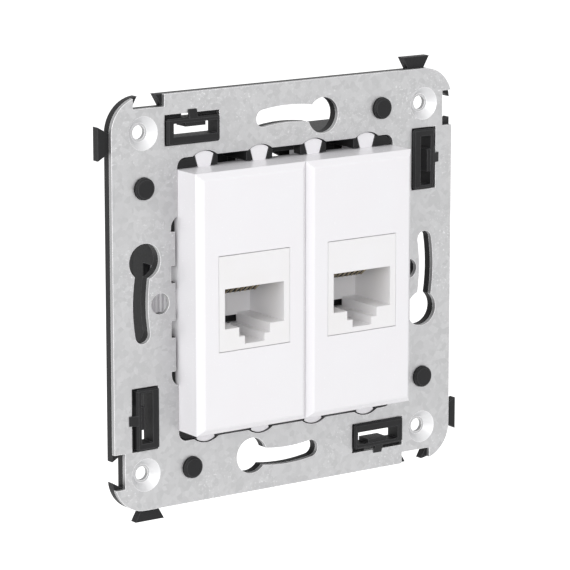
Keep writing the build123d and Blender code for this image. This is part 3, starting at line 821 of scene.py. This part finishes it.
class SOCKET_OT_contact_wires(bpy.types.Operator):
    """Makes the round contact wires of both jacks"""

    bl_idname = "socket.contact_wires"
    bl_label = "Contact Wires"

    def execute(self, context):
        s = sizes()
        gold = gold_plated_bronze()
        for side in SIDES:
            name = f"{side}_contact_wires"
            low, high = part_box(name)
            middle = (low[0] + high[0]) / 2
            builder = bmesh.new()
            for place in range(s.wire_count):
                x = middle + (place - (s.wire_count - 1) / 2) * s.wire_pitch
                tube(builder, wire_path(x, high[1] - WIRE_TAIL_INSET), s.wire_diameter / 2)
            piece = new_piece(f"{side}_spring_wires", builder, gold)
            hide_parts(name)
        return {"FINISHED"}


class SOCKET_OT_cable_terminals(bpy.types.Operator):
    """Finishes the boards, terminal blocks, blades and rear caps"""

    bl_idname = "socket.cable_terminals"
    bl_label = "Cable Terminals"

    def execute(self, context):
        board = solder_mask_board()
        block = natural_polyester()
        blade = tinned_bronze()
        cap = cap_polycarbonate()
        for side in SIDES:
            finish_nodes(board, f"{side}_circuit_board")
            finish_nodes(block, f"{side}_upper_terminal_block", f"{side}_lower_terminal_block")
            finish_nodes(blade, f"{side}_upper_idc_contacts", f"{side}_lower_idc_contacts")
            finish_nodes(cap, f"{side}_wire_cap")
        return {"FINISHED"}


class SOCKET_OT_stage(bpy.types.Operator):
    """Makes the floor, the sky, the lamps and the camera"""

    bl_idname = "socket.stage"
    bl_label = "Studio"

    def execute(self, context):
        self.floor()
        self.sky()
        self.lamps()
        self.camera(context)
        context.scene.view_settings.view_transform = "Standard"
        return {"FINISHED"}

    def floor(self):
        """A wide pale floor that is white for the camera and for gloss, but keeps the shadow."""
        half, height = FLOOR_HALF, studio().floor_height
        builder = bmesh.new()
        corners = ((-half, -half), (half, -half), (half, half), (-half, half))
        builder.faces.new([builder.verts.new((x, y, height)) for x, y in corners])
        mesh = bpy.data.meshes.new("studio_floor")
        builder.to_mesh(mesh)
        builder.free()
        floor = bpy.data.objects.new("studio_floor", mesh)
        bpy.context.scene.collection.objects.link(floor)
        material, tree = new_material("pale_paper")
        white_rays = rays_that_see_white(tree)
        paper = add_node(tree, "ShaderNodeBsdfDiffuse", {"Color": rgba(colours().floor)})
        white = add_node(tree, "ShaderNodeEmission", {"Color": (1.0, 1.0, 1.0, 1.0), "Strength": FLOOR_GLOW})
        both = add_node(
            tree, "ShaderNodeAddShader", links={0: paper.outputs["BSDF"], 1: white.outputs["Emission"]}
        )
        mix = add_node(
            tree, "ShaderNodeMixShader",
            links={0: white_rays, 1: paper.outputs["BSDF"], 2: both.outputs["Shader"]},
        )
        add_node(tree, "ShaderNodeOutputMaterial", links={"Surface": mix.outputs["Shader"]})
        mesh.materials.append(material)

    def sky(self):
        """Even light from all sides, which the camera and gloss see as white."""
        world = bpy.data.worlds.new("studio_sky")
        bpy.context.scene.world = world
        world.use_nodes = True
        tree = world.node_tree
        tree.nodes.clear()
        white_rays = rays_that_see_white(tree)
        strength = add_node(
            tree, "ShaderNodeMapRange", {"To Min": studio().sky, "To Max": 1.0}, {"Value": white_rays}
        )
        glow = add_node(
            tree, "ShaderNodeBackground", {"Color": (1.0, 1.0, 1.0, 1.0)},
            {"Strength": strength.outputs["Result"]},
        )
        add_node(tree, "ShaderNodeOutputWorld", links={"Surface": glow.outputs["Background"]})

    def lamps(self):
        """Four soft boxes: strong ones on the left and in front, weak ones on the right and above."""
        for name, power, azimuth, elevation, size in (
            ("key_soft_box", studio().key, -66.0, 32.0, 0.7),
            ("front_soft_box", studio().front, -30.0, 12.0, 0.5),
            ("fill_soft_box", studio().fill, 38.0, 20.0, 0.8),
            ("top_soft_box", studio().top, -20.0, 76.0, 0.6),
        ):
            lamp = bpy.data.lights.new(name, "AREA")
            lamp.energy = power
            lamp.shape = "SQUARE"
            lamp.size = size
            thing = bpy.data.objects.new(name, lamp)
            bpy.context.scene.collection.objects.link(thing)
            turn, rise = math.radians(azimuth), math.radians(elevation)
            away = Vector((math.sin(turn) * math.cos(rise), -math.cos(turn) * math.cos(rise), math.sin(rise)))
            thing.location = away * LAMP_DISTANCE
            thing.rotation_euler = away.to_track_quat("Z", "Y").to_euler()

    def camera(self, context):
        """The photograph's camera, aimed at the plate's front."""
        s = studio()
        lens = bpy.data.cameras.new("photo_camera")
        lens.sensor_width = SENSOR_MM
        lens.lens = s.lens
        lens.shift_x = (PIXELS / 2 - s.target_x) / PIXELS
        lens.shift_y = (s.target_y - PIXELS / 2) / PIXELS
        lens.clip_start = CLIP_START
        camera = bpy.data.objects.new("photo_camera", lens)
        context.scene.collection.objects.link(camera)
        plate_front = Vector((0.0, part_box("support_plate")[0][1], 0.0))
        level = math.cos(s.elevation)
        away = Vector((math.sin(s.azimuth) * level, -math.cos(s.azimuth) * level, math.sin(s.elevation)))
        camera.location = plate_front + away * s.distance
        camera.rotation_euler = (math.pi / 2 - s.elevation, 0.0, s.azimuth)
        context.scene.camera = camera


class SOCKET_PT_panel(bpy.types.Panel):
    """Lists the socket's pieces, sizes and colours"""

    bl_idname = "SOCKET_PT_panel"
    bl_label = "Double Data Socket"
    bl_space_type = "VIEW_3D"
    bl_region_type = "UI"
    bl_category = "Socket"

    def draw(self, context):
        layout = self.layout
        for operator in OPERATORS:
            layout.operator(operator.bl_idname)
        for group in (context.scene.socket_sizes, context.scene.socket_colours, context.scene.socket_studio):
            box = layout.box()
            for name in group.__annotations__:
                box.prop(group, name)


OPERATORS = (
    SOCKET_OT_support_plate,
    SOCKET_OT_mounting_frame,
    SOCKET_OT_module_covers,
    SOCKET_OT_jack_housings,
    SOCKET_OT_contact_wires,
    SOCKET_OT_cable_terminals,
    SOCKET_OT_stage,
)
GROUPS = {"socket_colours": SocketColours, "socket_sizes": SocketSizes, "socket_studio": SocketStudio}


def register():
    for group in GROUPS.values():
        bpy.utils.register_class(group)
    for name, group in GROUPS.items():
        setattr(bpy.types.Scene, name, PointerProperty(type=group))
    for operator in OPERATORS:
        bpy.utils.register_class(operator)
    bpy.utils.register_class(SOCKET_PT_panel)


def unregister():
    bpy.utils.unregister_class(SOCKET_PT_panel)
    for operator in reversed(OPERATORS):
        bpy.utils.unregister_class(operator)
    for name in GROUPS:
        delattr(bpy.types.Scene, name)
    for group in reversed(GROUPS.values()):
        bpy.utils.unregister_class(group)


def main():
    """Registers the add-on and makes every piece."""
    register()
    for operator in OPERATORS:
        family, name = operator.bl_idname.split(".")
        getattr(getattr(bpy.ops, family), name)()


if __name__ == "__main__":
    main()
